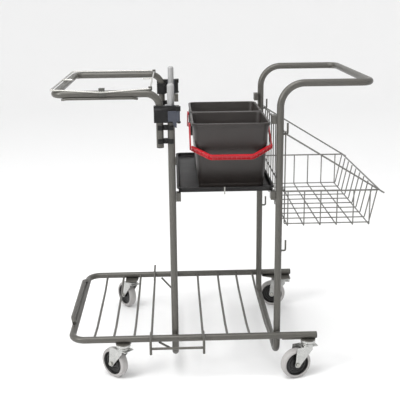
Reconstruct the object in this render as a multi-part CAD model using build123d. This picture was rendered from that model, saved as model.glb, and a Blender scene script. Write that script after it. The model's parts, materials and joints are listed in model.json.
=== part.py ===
from build123d import *
import math
import os

os.makedirs("parts", exist_ok=True)

# Cleaning cart with a tubular steel frame, in millimetres, +Z up.
# While it is modelled, X runs from the closed end of the base (left) to the push handle (right),
# Y = 0 is the middle plane and Z = 0 is the floor. write() moves each part by -origin_x, so that the
# written origin lies on the floor under the middle of the whole cart.

# Frame tubes
tube_d = 22.0
tube_wall = 1.5
weld_gap = 0.2                 # tubes stand this far apart where a weld joins them

# Base
base_length = 794.0            # from the closed end's centreline to the open ends of the rails
base_width = 580.0             # between the rail centrelines
rail_height = 142.0            # rail centreline above the floor
base_corner_r = 45.0

# Deck, rack and fence of round bar
rod_d = 8.0
deck_drop = 14.0               # deck rods lie this far under the rail centrelines
deck_rise_run = 120.0          # length of each rod's rise to the rail
deck_rod_x = [78.0, 141.0, 207.0, 509.0, 581.0, 645.0]
wing_rod_x = [262.0, 430.0]    # these two run on over the rail and carry the side rack
wing_reach = 56.0              # how far they stand out from the rail centreline
wing_tip_drop = 44.0
rack_rail_drop = 24.0
base_left = 6.0                # closed end of the base rail
fence_d = 14.0
fence_rise = 25.0
fence_offset = 8.0
fence_length = 330.0
fence_end = 30.0               # length of each turned-down end
fence_bend_r = 16.0
deck_bend_r = 60.0
wing_turn_r = 12.0             # bend where a wing rod turns down outside the rail
wing_slope_r = 14.0

# Front and rear hoops
front_post_x = 340.0
rear_post_x = 670.0
front_hoop_bottom = 72.0       # centrelines of the cross tubes under the deck
rear_hoop_bottom = 72.0
hoop_corner_r = 40.0
brace_d = 7.0
brace_run = 52.0               # how far from the front hoop each brace meets the rail
brace_foot_rise = 22.0
post_top_round = 7.0
spigot_length = 30.0
bracket_overlap = 4.0          # how far a bracket reaches past its post's axis
front_post_top = 880.0
post_top_end = 955.0
handle_height = 951.0
handle_end_x = 944.0
handle_bend_r = 72.0
handle_corner_r = 34.0

# Tray brackets and basket hooks on the posts
bracket_out = 15.0
bracket_width = 30.0
bracket_height = 26.0
bracket_wall = 2.5
upper_bracket_z = 829.0
hook_d = 6.0
hook_gap = 9.0                 # between the post and the prong
hook_rise = 34.0
upper_hook_z = 797.0
lower_hook_z = 424.0

# Casters
wheel_d = 100.0
tyre_width = 28.0
tyre_thickness = 11.0
trail = 42.0
caster_inset = 25.0            # swivel axis from the rails' open ends
left_caster_x = 172.0
caster_turn = {                # direction of each wheel's plane about +Z, in degrees
    "near_left": -42.0,
    "near_right": 17.0,
    "far_left": -54.0,
    "far_right": -12.0,
}
fork_gap = 32.0
fork_wall = 2.5
crown_z = 106.0
crown_t = 3.0
crown_reach = 27.0             # crown plate, ahead of and behind the swivel axis
crown_back = 24.0
race_t = 7.0
axle_boss_r = 10.0
arm_front = 9.0                # front edge of the fork's arms from the swivel axis
pin_head_t = 6.0
pin_head_r = 8.0
bolt_head_r = 7.0
bolt_head_t = 5.0
nut_r = 7.5
nut_t = 6.5
race_d = 40.0
head_d = 48.0
plate_t = 4.0
plate_reach = {"near_left": 26.0, "far_left": 26.0, "near_right": 84.0, "far_right": 84.0}
plate_depth = 44.0             # from the swivel axis towards the cart's middle plane
plate_back = 23.0
plate_shoulder = 18.0          # where the cut towards the middle begins
king_pin_d = 10.0
axle_d = 8.0
running_clearance = 0.05

# Tray
tray_gap = 2.5                 # between the tray rim and the front posts
tray_length = 303.0
tray_floor_z = 618.0           # underside of the tray
tray_depth = 16.0
tray_wall = 3.0
tray_rim = 5.0
tray_corner_r = 16.0
tray_clip_x = 501.0
tray_clip_width = 4.0
tray_clip_t = 1.2
tray_clip_drop = 22.0
tray_clip_reach = 9.0

# Buckets and bails
bucket_length = 236.0          # outside of the wall at the top, along X
bucket_depth = 230.0           # along Y
bucket_height = 206.0
bucket_taper = 16.0            # each side, from top to bottom
bucket_wall = 2.5
bucket_corner_r = 22.0
bucket_rim = 5.0
bucket_rim_height = 9.0
bucket_pitch = 243.0
bucket_mid_x = 524.5
bucket_mid_y = 0.0
seat_gap = 0.3                 # between a loose piece and what carries it
ear_width = 34.0
ear_height = 42.0
ear_drop = 12.0                # top of the ear under the bucket's top edge
bail_pin_d = 8.0
bail_thickness = 5.0
bail_width = 10.0
bail_reach = 158.0
bail_arm = 110.0
bail_grip_half = 66.0
bail_arm_r = 16.0
bail_grip_r = 30.0
bail_eye_r = 8.0
pivot_drop = 12.0              # the bail's pins below the ears' tops
bail_rest_angle = 29.0         # below the horizontal
grip_width = 17.0

# Bag hoop, its clamps and its wire frame
hoop_height = 926.0
hoop_left_x = -6.0
leg_spacing = 34.0             # leg centreline from the front post's
hoop_bend_r = 40.0
hoop_left_r = 30.0
leg_end_z = 764.0
clamp_height = 50.0
near_clamp_z = 840.0
far_clamp_z = 857.0
clamp_half_y = 19.0
clamp_left = 17.0              # from the leg's axis
clamp_right = 25.0             # from the post's axis
cap_t = 14.0
lever_pin_x = 22.5             # lever pin from the post's axis
lever_out = 22.0
lever_pin_d = 4.0
lever_barrel_d = 9.0
lever_t = 5.0
lever_left = 9.0               # the lever's plate reaches this far left of the post's axis
lever_tail = 14.0
lever_tail_x = (-17.0, -5.6)   # tail's edges from the lever pin
lever_tail_lean = 32.0
lever_pin_head_r = 3.5
lower_knuckle_t = 4.0
lever_gap = 0.4
cap_step = 12.0                # the clamp's sides stop this far below its top
clip_wall = 2.2
clip_open = 7.0                # the clips' mouths start this far from each axis
clip_web_half = 7.0
clamp_clearance = 0.3          # on the post, which the whole hoop slides along
leg_clearance = 0.1
sleeve_t = 2.5
clip_z = [775.0, 816.0]
clip_height = 15.0
catch_half = 9.0
eye_inset = 16.0               # lugs' middle planes from the hoop's axis
eye_t = 6.0
eye_half = 5.5
stem_half = 4.0
loop_reach = 34.0              # finger loop at the hoop's end, inwards
loop_half = 6.0
loop_foot = 16.0
prong_y = 8.0
prong_reach = 32.0
wire_d = 5.0
wire_over = 9.0                # the wire frame reaches past the hoop's left tube
wire_hinge_x = 280.0
strip_d = 7.0
strip_from_x = 26.0
strip_to_x = 233.0
catch_x = 137.0

# Basket
mesh_wire_d = 4.0
rim_wire_d = 5.0
basket_rim_z = 617.0
basket_floor_z = 510.0
basket_length = 299.0          # rim, from the back panel to the front
basket_front_slant = 24.0
long_wires = 10
cross_wires = 6
first_cross = 14.0             # from the back panel
cross_pitch = 51.4
stay_overhang = 14.0

# Worked-out places
tube_r = tube_d / 2
rod_r = rod_d / 2
rail_y = base_width / 2
post_y = rail_y - tube_d - weld_gap
tray_half_width = post_y + 1.2
basket_half_width = post_y - 0.8
rail_bottom = rail_height - tube_r
plate_z = rail_bottom - plate_t
post_face_front = front_post_x + tube_r
post_face_rear = rear_post_x - tube_r
leg_x = front_post_x - leg_spacing
wheel_r = wheel_d / 2
right_caster_x = base_length - caster_inset
hook_prong_x = rear_post_x + tube_r + hook_gap + hook_d / 2
basket_back_x = rear_post_x + tube_r + 0.5 + rim_wire_d / 2
basket_top_z = upper_hook_z + hook_d / 2 + seat_gap + rim_wire_d / 2
basket_front_x = basket_back_x + basket_length
upright_x = basket_back_x + rim_wire_d / 2 + mesh_wire_d / 2 + 0.1
bucket_z = tray_floor_z + tray_wall + seat_gap
wire_z = hoop_height + tube_r + seat_gap + wire_d / 2
wire_left_x = hoop_left_x - wire_over
cart_left = wire_left_x - wire_d / 2
cart_right = basket_front_x + stay_overhang
origin_x = (cart_left + cart_right) / 2
casters = {
    "near_left": (left_caster_x, -rail_y),
    "near_right": (right_caster_x, -rail_y),
    "far_left": (left_caster_x, rail_y),
    "far_right": (right_caster_x, rail_y),
}


def write(name, *solids):
    """One STEP file for a node, holding its separate solids."""
    moved = [Pos(-origin_x, 0, 0) * s for s in solids]
    export_step(moved[0] if len(moved) == 1 else Compound(children=moved), f"parts/{name}.step")


def route(points, bend):
    """Straight runs through the points, with a round bend of the given radius at each corner."""
    if len(points) == 2:
        return Line(*points)
    radii = bend if isinstance(bend, list) else [bend] * (len(points) - 2)
    return FilletPolyline(*points, radius=radii)


def bar(points, bend, diameter):
    """Round bar bent along the points."""
    path = route(points, bend)
    return sweep(Plane(origin=path @ 0, z_dir=path % 0) * Circle(diameter / 2), path)


def pipe(points, bend):
    """Frame tube bent along the points."""
    path = route(points, bend)
    ring = Circle(tube_r) - Circle(tube_r - tube_wall)
    return sweep(Plane(origin=path @ 0, z_dir=path % 0) * ring, path)


def block(x, y, z):
    """Box between two X, two Y and two Z values."""
    centre = Pos((x[0] + x[1]) / 2, (y[0] + y[1]) / 2, (z[0] + z[1]) / 2)
    return centre * Box(abs(x[1] - x[0]), abs(y[1] - y[0]), abs(z[1] - z[0]))


def upright(radius, x, y, z0, z1):
    """Vertical cylinder."""
    return Pos(x, y, (z0 + z1) / 2) * Cylinder(radius, z1 - z0)


def lying(radius, x, z, y0, y1):
    """Cylinder along Y."""
    return Pos(x, (y0 + y1) / 2, z) * Rot(90, 0, 0) * Cylinder(radius, abs(y1 - y0))


def end_plug(z_dir, place, shank=14.0, head=3.0):
    """Plastic plug for a tube's end: a shank inside the tube and a rounded head over its edge."""
    head_part = Pos(0, 0, head / 2) * Cylinder(tube_r, head)
    head_part = fillet(head_part.edges().group_by(Axis.Z)[-1], head * 0.6)
    body = Pos(0, 0, -shank / 2) * Cylinder(tube_r - tube_wall - 0.05, shank)
    return Plane(origin=place, z_dir=z_dir).location * (head_part + body)


# ---- base ----

def base_rail():
    return pipe([(base_length, -rail_y, rail_height), (base_left, -rail_y, rail_height),
                 (base_left, rail_y, rail_height), (base_length, rail_y, rail_height)], base_corner_r)


def rail_end_caps():
    return [end_plug((1, 0, 0), (base_length, s * rail_y, rail_height)) for s in (-1, 1)]


def deck_rod(x):
    """Bar between the rails: low across the deck, turned up to meet each rail's inner side."""
    end = rail_y - tube_r - 0.1
    low = rail_height - deck_drop
    bend_y = end - deck_rise_run
    return bar([(x, -end, rail_height - 2), (x, -bend_y, low), (x, bend_y, low), (x, end, rail_height - 2)],
               deck_bend_r, rod_d)


def wing_rod(x, both_sides):
    """Bar that runs over the rail and turns down outside it; the first does so at both sides."""
    over = rail_height + tube_r + rod_r + weld_gap
    low = rail_height - deck_drop
    reach = rail_y + wing_reach
    inner = rail_y - tube_r - 30
    near = [(x, -reach, over - wing_tip_drop), (x, -reach, over), (x, -rail_y + 14, over),
            (x, -inner, low)]
    if both_sides:
        far = [(x, inner, low), (x, rail_y - 14, over), (x, reach, over)]
        radii = [8, wing_turn_r, wing_slope_r, wing_slope_r, wing_turn_r]
    else:
        end = rail_y - tube_r - 0.1
        far = [(x, end - deck_rise_run, low), (x, end, rail_height - 2)]
        radii = [8, wing_turn_r, wing_slope_r, deck_bend_r]
    return bar(near + far, radii, rod_d)


def side_rack():
    """Two wing rods, and the rail bar between their turned-down tips."""
    rack_y = rail_y + wing_reach
    rack_z = rail_height + tube_r + rod_r + weld_gap - rack_rail_drop
    cross = bar([(wing_rod_x[0] + rod_r + 0.1, -rack_y, rack_z),
                 (wing_rod_x[1] - rod_r - 0.1, -rack_y, rack_z)], 0, rod_d)
    return [wing_rod(wing_rod_x[0], True), wing_rod(wing_rod_x[1], False), cross]


def end_fence():
    """Low bar over the closed end of the base, its ends turned down to the tube."""
    half = fence_length / 2
    foot = rail_height + tube_r + fence_d / 2 * 0.955
    top = rail_height + fence_rise
    foot_x = base_left
    x = foot_x - fence_offset
    end = half + fence_end
    return bar([(foot_x, -end, foot), (x, -half, top), (x, half, top), (foot_x, end, foot)],
               fence_bend_r, fence_d)


# ---- hoops ----

def front_hoop():
    x = front_post_x
    low = front_hoop_bottom
    return pipe([(x, -post_y, front_post_top), (x, -post_y, low), (x, post_y, low),
                 (x, post_y, front_post_top)], hoop_corner_r)


def post_top(side):
    """Plastic end piece on a front post, as thick as the tube, with a spigot inside it."""
    outer = upright(tube_r - 0.4, front_post_x, side * post_y, front_post_top, post_top_end)
    outer = fillet(outer.edges().group_by(Axis.Z)[-1], post_top_round)
    spigot = upright(tube_r - tube_wall - 0.05, front_post_x, side * post_y, front_post_top - spigot_length,
                     front_post_top)
    return outer + spigot


def rear_hoop_handle():
    """One tube: cross tube under the deck, two posts, and the push handle bent from their tops."""
    x = rear_post_x
    h = handle_height
    e = handle_end_x
    y = post_y
    low = rear_hoop_bottom
    loop = [(x, 0, low), (x, -y, low), (x, -y, h), (e, -y, h), (e, y, h), (x, y, h), (x, y, low),
            (x, weld_gap, low)]
    radii = [hoop_corner_r, handle_bend_r, handle_corner_r, handle_corner_r, handle_bend_r,
             hoop_corner_r]
    return pipe(loop, radii)


def bracket(face_x, out, side, z):
    """Folded steel tab on a post, open underneath, level with the inside of the post."""
    outer_y = side * (post_y + bracket_overlap)
    inner_y = side * (post_y + bracket_overlap - bracket_width)
    solid = block((face_x + out * 0.2, face_x + out * bracket_out), (outer_y, inner_y),
                  (z - bracket_height, z))
    hollow = block((face_x + out * (0.2 + bracket_wall), face_x + out * (bracket_out - bracket_wall)),
                   (outer_y - side * bracket_wall, inner_y + side * bracket_wall),
                   (z - bracket_height - 1, z - bracket_wall))
    return solid - hollow


def brackets(z, near_front=True):
    """Tabs at one height on the four posts; the near clamp takes the place of an upper one."""
    places = [(post_face_rear, -1, -1), (post_face_rear, -1, 1), (post_face_front, 1, 1)]
    if near_front:
        places.append((post_face_front, 1, -1))
    return [bracket(x, out, side, z) for x, out, side in places]


def basket_hook(side, z):
    """Bar hook on the rear post: a short foot, then a prong straight up."""
    y = side * post_y
    foot = rear_post_x + tube_r + 0.1
    return bar([(foot, y, z), (hook_prong_x, y, z), (hook_prong_x, y, z + hook_rise)], 4.5, hook_d)


def hoop_brace(side):
    """Slanting bar from the rail's underside down to the front hoop's bend."""
    r = brace_d / 2
    top = (front_post_x - brace_run, side * (rail_y - 2), rail_bottom - r + 0.4)
    foot = (front_post_x - tube_r - r - 0.4, side * (post_y - 2), front_hoop_bottom + brace_foot_rise)
    return bar([top, foot], 0, brace_d)


# ---- casters ----

def local(name):
    """Frame of one caster: origin on the floor under its swivel axis, X along its wheel's plane."""
    x, y = casters[name]
    return Pos(x, y, 0) * Rot(0, 0, caster_turn[name])


def caster_plate(name):
    """Gusset under the rail, cut away towards the middle of the cart."""
    x, y = casters[name]
    inward = 1 if x < base_length / 2 else -1
    side = 1 if y > 0 else -1
    outer = side * (rail_y + 2)
    inner = side * (rail_y - plate_depth)
    back = x - inward * plate_back
    reach = x + inward * plate_reach[name]
    outline = make_face(Polyline((back, outer), (reach, outer), (reach, side * (rail_y - 10)),
                                 (x + inward * plate_shoulder, inner), (back, inner), close=True))
    top = plate_z + plate_t - 0.1
    plate = extrude(Pos(0, 0, plate_z) * outline, top - plate_z, dir=(0, 0, 1))
    plate = plate + upright(head_d / 2, x, y, plate_z, top)
    return plate - upright(king_pin_d / 2, x, y, plate_z - 1, top + 1)


def caster_head(name):
    """Fixed upper race of the swivel, under the gusset."""
    x, y = casters[name]
    bottom = crown_z + crown_t + race_t + 0.5
    head = upright(head_d / 2, x, y, bottom, plate_z)
    head = chamfer(head.edges().group_by(Axis.Z)[0], 3)
    return head - upright(king_pin_d / 2, x, y, bottom - 1, plate_z + 1)


def king_pin(name):
    """Bolt on the swivel axis: hexagon head under the fork, shank up through the gusset."""
    x, y = casters[name]
    head = Pos(x, y, crown_z - seat_gap - pin_head_t) * extrude(RegularPolygon(pin_head_r, 6), pin_head_t)
    return head + upright(king_pin_d / 2, x, y, crown_z - pin_head_t / 2, plate_z + plate_t - 0.2)


def fork(name):
    """Pressed steel fork: crown with the lower race on it, and two arms tapering to the axle."""
    half = fork_gap / 2
    crown_top = crown_z + crown_t
    crown = block((-crown_back, crown_reach), (-half - fork_wall, half + fork_wall), (crown_z, crown_top))
    race = upright(race_d / 2, 0, 0, crown_top, crown_top + race_t)
    race = chamfer(race.edges().group_by(Axis.Z)[-1], 2)
    back = -trail - 4
    outline = make_face(Polyline((-trail - 9, wheel_r), (back, crown_top), (arm_front, crown_top),
                                 (arm_front, crown_z - 9), (-trail + 8.5, wheel_r - 4), close=True))
    boss = Pos(-trail, wheel_r) * Circle(axle_boss_r)
    side = (outline + boss) - Pos(-trail, wheel_r) * Circle(axle_d / 2 + running_clearance)
    arm = extrude(Plane.XZ * side, fork_wall)
    top = block((back, arm_front), (-half, half), (crown_z, crown_top))
    body = crown + race + Pos(0, -half, 0) * arm + Pos(0, half + fork_wall, 0) * arm
    body = body + (top - block((back - 1, -crown_back), (-half, half), (crown_z - 1, crown_top + 1)))
    return local(name) * (body - upright(king_pin_d / 2 + running_clearance, 0, 0, 90, 130))


def axle(name):
    """Wheel bolt with a round head, and its nut."""
    outer = fork_gap / 2 + fork_wall
    shank = lying(axle_d / 2, -trail, wheel_r, -outer - 0.1, outer + 9)
    head = lying(bolt_head_r, -trail, wheel_r, -outer - bolt_head_t, -outer - 0.1)
    head = fillet(head.edges().group_by(Axis.Y)[0], 2)
    nut = Plane.XZ * (RegularPolygon(nut_r, 6) - Circle(axle_d / 2 + 0.02))
    nut = Pos(-trail, outer + nut_t + 0.1, wheel_r) * extrude(nut, nut_t)
    return [local(name) * (shank + head), local(name) * nut]


def ring_body(profile):
    """Ring turned about the wheel axis from (radius, width) points, then stood up in place."""
    face = make_face(Polyline(*profile, close=True))
    return Pos(-trail, 0, wheel_r) * Rot(90, 0, 0) * revolve(Plane.XZ * face, Axis.Z)


def hub(name):
    """Black plastic wheel centre: boss, thin web and rim."""
    bore = axle_d / 2 + running_clearance
    boss = fork_gap / 2 - 0.3
    rim = wheel_r - tyre_thickness
    w = tyre_width / 2
    half = [(bore, boss), (11, boss), (13, 5), (24, 4), (25.5, 6), (28, 6), (30, 4), (rim - 4, w - 3),
            (rim - 2, w - 1.5), (rim, w - 1.5)]
    profile = half + [(r, -h) for r, h in reversed(half)]
    return local(name) * ring_body(profile)


def tyre(name):
    """Grey rubber tread, rounded over, on the hub's rim."""
    rim = wheel_r - tyre_thickness
    w = tyre_width / 2
    half = [(rim, w - 1.5), (rim + 1.5, w), (rim + 4, w), (wheel_r - 3.5, w - 2), (wheel_r - 1.2, w - 5),
            (wheel_r, w - 9)]
    profile = half + [(r, -h) for r, h in reversed(half)]
    return local(name) * ring_body(profile)


# ---- tray ----

def rounded_slab(x, y, z0, z1, corner):
    """Slab with round corners, from its X and Y limits."""
    centre = Pos((x[0] + x[1]) / 2, (y[0] + y[1]) / 2, z0)
    return centre * extrude(RectangleRounded(x[1] - x[0], y[1] - y[0], corner), z1 - z0)


def tray():
    """Shallow plastic tray between the posts, with a flat rim round it."""
    x0 = post_face_front + tray_gap
    x1 = x0 + tray_length
    y1 = tray_half_width
    top = tray_floor_z + tray_depth
    inner = (x0 + tray_rim, x1 - tray_rim)
    body = rounded_slab(inner, (-y1 + tray_rim, y1 - tray_rim), tray_floor_z, top - tray_wall, tray_corner_r)
    body = fillet(body.edges().group_by(Axis.Z)[0], 3.5)
    rim = rounded_slab((x0, x1), (-y1, y1), top - tray_wall, top, tray_corner_r + tray_rim)
    w = tray_rim + tray_wall
    well = rounded_slab((x0 + w, x1 - w), (-y1 + w, y1 - w), tray_floor_z + tray_wall, top + 1,
                        tray_corner_r - tray_wall)
    return body + rim - well


def tray_clip():
    """Bent steel strip hooked over the tray's front rim."""
    y = -tray_half_width
    top = tray_floor_z + tray_depth
    t = tray_clip_t
    x = (tray_clip_x - tray_clip_width / 2, tray_clip_x + tray_clip_width / 2)
    front = block(x, (y - t - 0.1, y - 0.1), (top - tray_clip_drop, top + t + 0.1))
    over = block(x, (y - 0.1, y + tray_clip_reach), (top + 0.1, top + t + 0.1))
    return front + over


# ---- buckets ----

def bucket(side):
    """Tapered square bucket with a folded-over rim and an ear on each side for the bail."""
    y = bucket_mid_y + side * bucket_pitch / 2
    base = Pos(bucket_mid_x, y, bucket_z)
    top_l = bucket_length
    top_d = bucket_depth

    def tapered(inset, z0, z1):
        low = bucket_taper * (1 - z0 / bucket_height) + inset
        high = bucket_taper * (1 - z1 / bucket_height) + inset
        r0 = bucket_corner_r - low * 0.4
        r1 = bucket_corner_r - high * 0.4
        bottom = Pos(0, 0, z0) * RectangleRounded(top_l - 2 * low, top_d - 2 * low, r0)
        upper = Pos(0, 0, z1) * RectangleRounded(top_l - 2 * high, top_d - 2 * high, r1)
        return loft([bottom, upper])

    outer = tapered(0, 0, bucket_height)
    rim = Pos(0, 0, bucket_height - bucket_rim_height) * extrude(
        RectangleRounded(top_l + 2 * bucket_rim, top_d + 2 * bucket_rim, bucket_corner_r + bucket_rim),
        bucket_rim_height)
    rim = fillet(rim.edges().group_by(Axis.Z)[-1], 2.5)
    ear_out = top_l / 2 + bucket_rim + 0.5
    ear_z = bucket_height - ear_drop
    ears = block((-ear_out, ear_out), (-ear_width / 2, ear_width / 2), (ear_z - ear_height, ear_z))
    pivot_z = ear_z - pivot_drop
    hole = Pos(0, 0, pivot_z) * Rot(0, 90, 0) * Cylinder(bail_pin_d / 2 + running_clearance, 2 * ear_out + 10)
    inside = tapered(bucket_wall, bucket_wall, bucket_height + 1)
    shell = outer + rim + ears - inside
    reach = top_l / 2 - 1
    keep = block((-reach, reach), (-bail_pin_d, bail_pin_d), (pivot_z - bail_pin_d, pivot_z + bail_pin_d))
    return base * (shell - (hole - keep))


def bail(side):
    """Carrying handle: two arms with pins in the ears, and a wide ribbed grip between them."""
    y = bucket_mid_y + side * bucket_pitch / 2
    pivot_z = bucket_z + bucket_height - ear_drop - pivot_drop
    arm_x = bucket_length / 2 + bucket_rim + 0.5 + 0.4 + bail_thickness / 2
    g = bail_grip_half
    points = [(arm_x, 0), (arm_x, bail_arm), (g, bail_reach), (-g, bail_reach), (-arm_x, bail_arm),
              (-arm_x, 0)]
    centre = FilletPolyline(*points, radius=[bail_arm_r, bail_grip_r, bail_grip_r, bail_arm_r])
    strap = trace(centre, bail_thickness)
    arms = extrude(strap, bail_width / 2, both=True)
    grip = Pos(0, bail_reach, 0) * Box(2 * g - 12, bail_thickness + 3, grip_width)
    grip = fillet(grip.edges().filter_by(Axis.X), 2.5)
    eyes = [Pos(s * arm_x, 0, 0) * Rot(0, 90, 0) * Cylinder(bail_eye_r, bail_thickness) for s in (-1, 1)]
    inner = bucket_length / 2
    pin_len = arm_x - inner - 0.3
    pins = [Pos(s * (inner + 0.3 + pin_len / 2), 0, 0) * Rot(0, 90, 0) * Cylinder(bail_pin_d / 2, pin_len)
            for s in (-1, 1)]
    whole = arms + grip + eyes[0] + eyes[1] + pins[0] + pins[1]
    # the sketch's Y becomes the direction away from the pivot: outwards and down at rest
    lean = Rot(bail_rest_angle, 0, 0) * Rot(0, 0, 180) if side < 0 else Rot(-bail_rest_angle, 0, 0)
    return Pos(bucket_mid_x, y, pivot_z) * lean * whole


# ---- bag hoop ----

def bag_hoop_tube():
    """U of tube for the refuse bag, its two ends bent down beside the front posts."""
    x = leg_x
    h = hoop_height
    return pipe([(x, -post_y, leg_end_z), (x, -post_y, h), (hoop_left_x, -post_y, h),
                 (hoop_left_x, post_y, h), (x, post_y, h), (x, post_y, leg_end_z)],
                [hoop_bend_r, hoop_left_r, hoop_left_r, hoop_bend_r])


def leg_room(side):
    """Space for a leg of the hoop and its bend, a little wider than the tube."""
    y = side * post_y
    return bar([(leg_x, y, leg_end_z), (leg_x, y, hoop_height), (leg_x - 120, y, hoop_height)],
               hoop_bend_r, tube_d + 2 * leg_clearance)


def leg_plugs():
    return [end_plug((0, 0, -1), (leg_x, s * post_y, leg_end_z), head=2.5) for s in (-1, 1)]


def bag_strip():
    """Bar along the outside of the hoop's near tube, its ends turned in to it."""
    y = -post_y - 8
    z = hoop_height - tube_r - 1.5
    inner = (-post_y - 3, hoop_height - tube_r - strip_d / 2)
    return bar([(strip_from_x - 9, inner[0], inner[1] - 0.3), (strip_from_x + 6, y, z),
                (strip_to_x - 6, y, z), (strip_to_x + 9, inner[0], inner[1] - 0.3)], 10, strip_d)


def wire_catch():
    """Small steel hook on the near tube that holds the wire frame down."""
    y = -post_y
    across = (catch_x - catch_half, catch_x + catch_half)
    base = block(across, (y - tube_r - 2.3, y - tube_r - 0.3),
                 (hoop_height - 6, wire_z + wire_d / 2 + 2.5))
    lip = block(across, (y - tube_r - 2.3, y + 1),
                (wire_z + wire_d / 2 + 0.4, wire_z + wire_d / 2 + 2.5))
    return base + lip


def wire_eye(side):
    """Lug on the hoop in which the wire frame's cross wire turns."""
    y = side * (post_y - eye_inset)
    across = (y - eye_t / 2, y + eye_t / 2)
    stem_x = (wire_hinge_x - stem_half, wire_hinge_x + stem_half)
    arm_z = (hoop_height - 2, hoop_height + 2)
    lug = block((wire_hinge_x - eye_half, wire_hinge_x + eye_half), across,
                (wire_z - eye_half, wire_z + eye_half))
    lug = lug + block(stem_x, across, (arm_z[0], wire_z - 5))
    lug = lug + block(stem_x, (y, side * (post_y - tube_r - 0.1)), arm_z)
    return lug - lying(wire_d / 2 + running_clearance, wire_hinge_x, wire_z, y - 5, y + 5)


def spacer_clip(side, z):
    """Plastic double clip that keeps a leg parallel to its post."""
    y = side * post_y
    top = z + clip_height
    clip = block((leg_x, front_post_x), (y - clip_web_half, y + clip_web_half), (z, top))
    clip = clip + upright(tube_r + clip_wall, leg_x, y, z, top)
    clip = clip + upright(tube_r + clip_wall, front_post_x, y, z, top)
    clip = clip - upright(tube_r + 0.1, leg_x, y, z - 1, top + 1)
    clip = clip - upright(tube_r + clamp_clearance, front_post_x, y, z - 1, top + 1)
    beside = (y - 20, y + 20)
    clip = clip - block((front_post_x + clip_open, front_post_x + 20), beside, (z - 1, top + 1))
    return clip - block((leg_x - 20, leg_x - clip_open), beside, (z - 1, top + 1))


def clamp(side, z):
    """Moulded clamp: a block round the leg, joined by a web to a half shell outside the post."""
    y = side * post_y
    outer = y + side * clamp_half_y
    inner = y - side * clamp_half_y
    middle = y - side * 2
    top = z + clamp_height
    right = front_post_x + clamp_right
    left = block((leg_x - clamp_left, leg_x + tube_r + 4), (outer, inner), (z, top - cap_step))
    left = fillet(left.edges().filter_by(Axis.Z), 4)
    cap = block((leg_x - clamp_left, right), (outer - side, middle), (top - cap_t, top))
    back = block((leg_x, right), (middle, outer), (z, top - cap_step))
    x_pin, y_pin = lever_axis(side)
    upper = block((x_pin - 7, x_pin + 6.5), (y + side * 15, y_pin + side * 5), (top - cap_t, top))
    lower = block((x_pin - 3.6, x_pin + 6.5), (y + side * 15, y_pin + side * 3.6),
                  (z, z + lower_knuckle_t))
    room = upright(lever_barrel_d / 2 + 0.5, x_pin, y_pin, z + lower_knuckle_t, top - cap_t)
    body = left + cap + back + upper + lower - room
    body = body - leg_room(side) - upright(lever_pin_d / 2 + 0.02, x_pin, y_pin, z - 1, top - 2)
    return body - upright(tube_r + sleeve_t + 0.2, front_post_x, y, z - 1, top + 1)


def clamp_sleeve(side, z):
    """Plastic liner between the clamp's half shell and the post, open towards the middle plane."""
    y = side * post_y
    low = z - 1
    top = z + clamp_height + 1
    tube = upright(tube_r + sleeve_t, front_post_x, y, low, top)
    tube = tube - upright(tube_r + clamp_clearance, front_post_x, y, low - 1, top + 1)
    gap = block((front_post_x - 20, front_post_x + 20), (y - side * 3, y - side * 20), (low - 1, top + 1))
    return tube - gap


def lever_axis(side):
    return (front_post_x + lever_pin_x, side * (post_y + lever_out))


def clamp_lever(side, z):
    """Cam lever outside the clamp: a barrel on the pin, a plate along the clamp and a short tail."""
    x, y = lever_axis(side)
    low = z + lower_knuckle_t + lever_gap
    top = z + clamp_height - cap_t - lever_gap
    barrel = upright(lever_barrel_d / 2, x, y, low, top)
    inside = post_y + clamp_half_y + lever_gap
    face = (side * inside, side * (inside + lever_t))
    plate = block((front_post_x - lever_left, x), face, (low, top))
    left, right = lever_tail_x
    tail = block((x + left, x + right), face, (z - lever_tail, low + 1))
    corner = Pos(x + left - 3.5, sum(face) / 2, z - lever_tail - 4)
    cut = corner * Rot(0, -lever_tail_lean, 0) * Box(22, 16, 26)
    return barrel + plate + (tail - cut) - upright(lever_pin_d / 2 + running_clearance, x, y, z, top + 10)


def lever_pin(side, z):
    """Pin through the clamp's two knuckles and the lever's barrel, with a head under the lower one."""
    x, y = lever_axis(side)
    shank = upright(lever_pin_d / 2, x, y, z - 1, z + clamp_height - 2)
    return shank + upright(lever_pin_head_r, x, y, z - 2.2, z - 0.1)


def wire_frame():
    """Bright wire frame that holds the bag's edge on the hoop, with a finger loop and a prong."""
    x0 = wire_left_x
    x1 = wire_hinge_x
    y = post_y
    z = wire_z
    near = [(x1, 0.1, z), (x1, y, z), (x0, y, z), (x0, -y, z), (x1, -y, z), (x1, -0.1, z)]
    frame = bar(near, 9, wire_d)
    butt = wire_d / 2 + 0.7
    tip = x0 + loop_reach
    loop = bar([(x0 + butt, loop_foot, z), (tip, loop_half, z), (tip, -loop_half, z),
                (x0 + butt, -loop_foot, z)], 5, wire_d - 1)
    prong = bar([(x1 - butt, prong_y, z), (x1 - prong_reach, prong_y, z)], 0, wire_d - 1)
    return [frame, loop, prong]


# ---- basket ----

def long_wire_y(i):
    span = 2 * (basket_half_width - 8)
    return -span / 2 + i * span / (long_wires - 1)


def cross_wire_x(i):
    return basket_back_x + first_cross + i * cross_pitch


def straight(a, b, diameter):
    return bar([a, b], 0, diameter)


def basket_floor():
    """Wires of the floor: the long ones on top, the cross ones under them."""
    z = basket_floor_z
    low = z - mesh_wire_d - 0.1
    front = basket_front_x - basket_front_slant
    half = basket_half_width - 1
    back = upright_x + mesh_wire_d / 2 + 0.1
    long = [straight((back, long_wire_y(i), z), (front - 0.5, long_wire_y(i), z), mesh_wire_d)
            for i in range(long_wires)]
    cross = [straight((cross_wire_x(i), -half, low), (cross_wire_x(i), half, low), mesh_wire_d)
             for i in range(cross_wires)]
    return long + cross


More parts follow.
